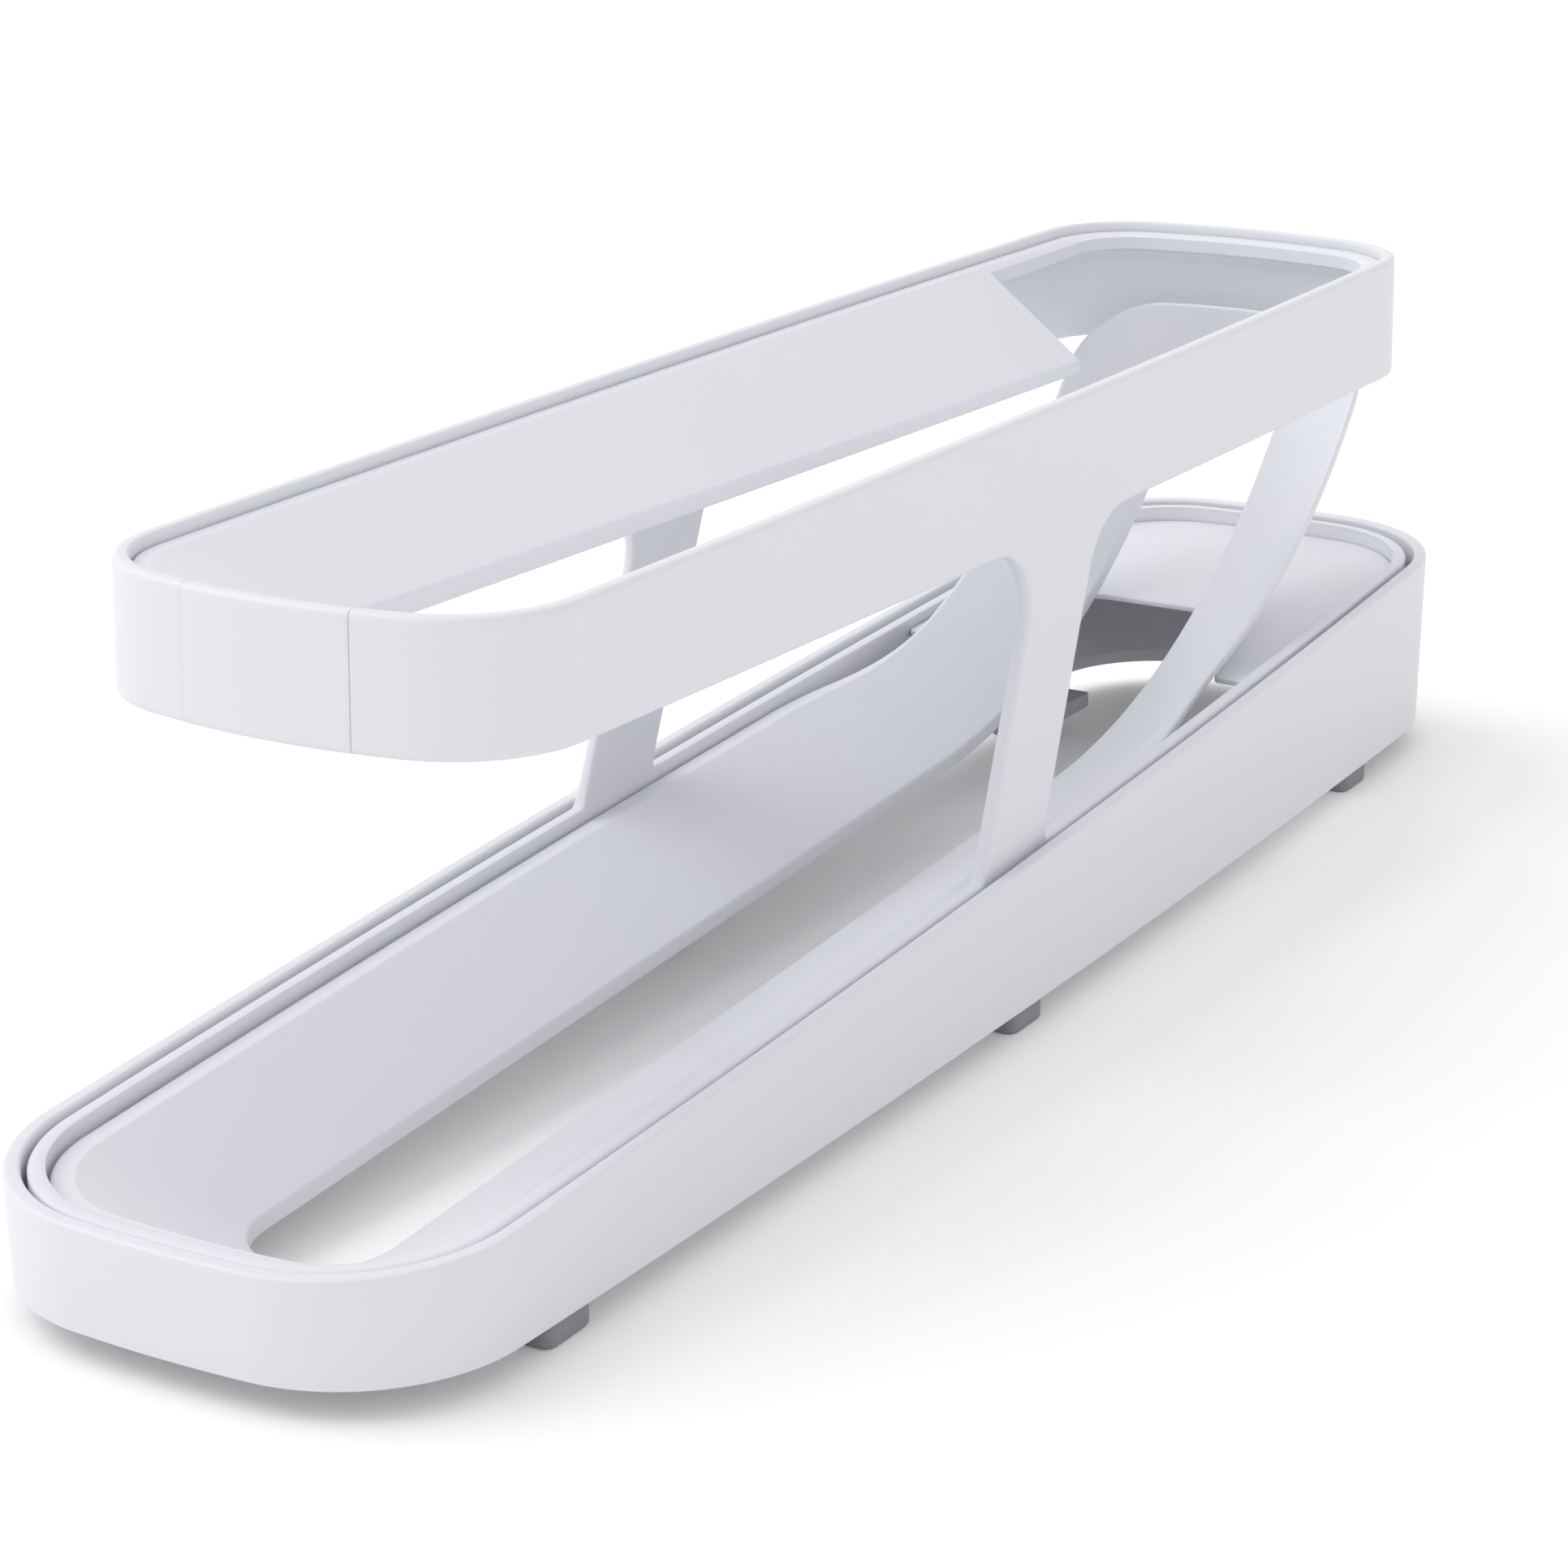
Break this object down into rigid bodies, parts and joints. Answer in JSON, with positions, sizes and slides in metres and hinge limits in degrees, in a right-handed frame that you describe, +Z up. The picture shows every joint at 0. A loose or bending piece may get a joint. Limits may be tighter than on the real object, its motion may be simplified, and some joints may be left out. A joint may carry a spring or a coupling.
{
  "type": "rolling egg dispenser",
  "caption": "Long narrow two-level egg dispenser: a sloped upper trough drops eggs at the rear onto a curved ramp that rolls them along a lower trough to the front.",
  "frame": {"origin": "centre of the footprint, on the surface that the feet stand on", "axes": "+Y runs from the low front end, where eggs are taken, to the rear end with the ramp; +X is to the right when seen from the front; +Z is up"},
  "size_m": [0.0922, 0.4, 0.1095],
  "materials": {
    "white_plastic": "satin white moulded plastic with a faint lavender cast",
    "grey_rubber": "smooth mid-grey soft rubber"
  },
  "bodies": {
    "base": {"base_ring": "white_plastic", "foot_front_left": "grey_rubber", "foot_front_right": "grey_rubber", "foot_middle_left": "grey_rubber", "foot_middle_right": "grey_rubber", "foot_rear_left": "grey_rubber", "foot_rear_right": "grey_rubber"},
    "stand": {"frame": "white_plastic", "front_plate": "white_plastic", "lower_track": "white_plastic", "rear_deck": "white_plastic"},
    "tray": {"upper_tray": "white_plastic"}
  },
  "joints": [
    {"name": "stand_lift", "type": "slide", "parent": "base", "child": "stand", "axis": [0, 0, 1], "range_m": [0, 0.04]},
    {"name": "tray_lift", "type": "slide", "parent": "stand", "child": "tray", "axis": [0, 0, 1], "range_m": [0, 0.03]}
  ]
}
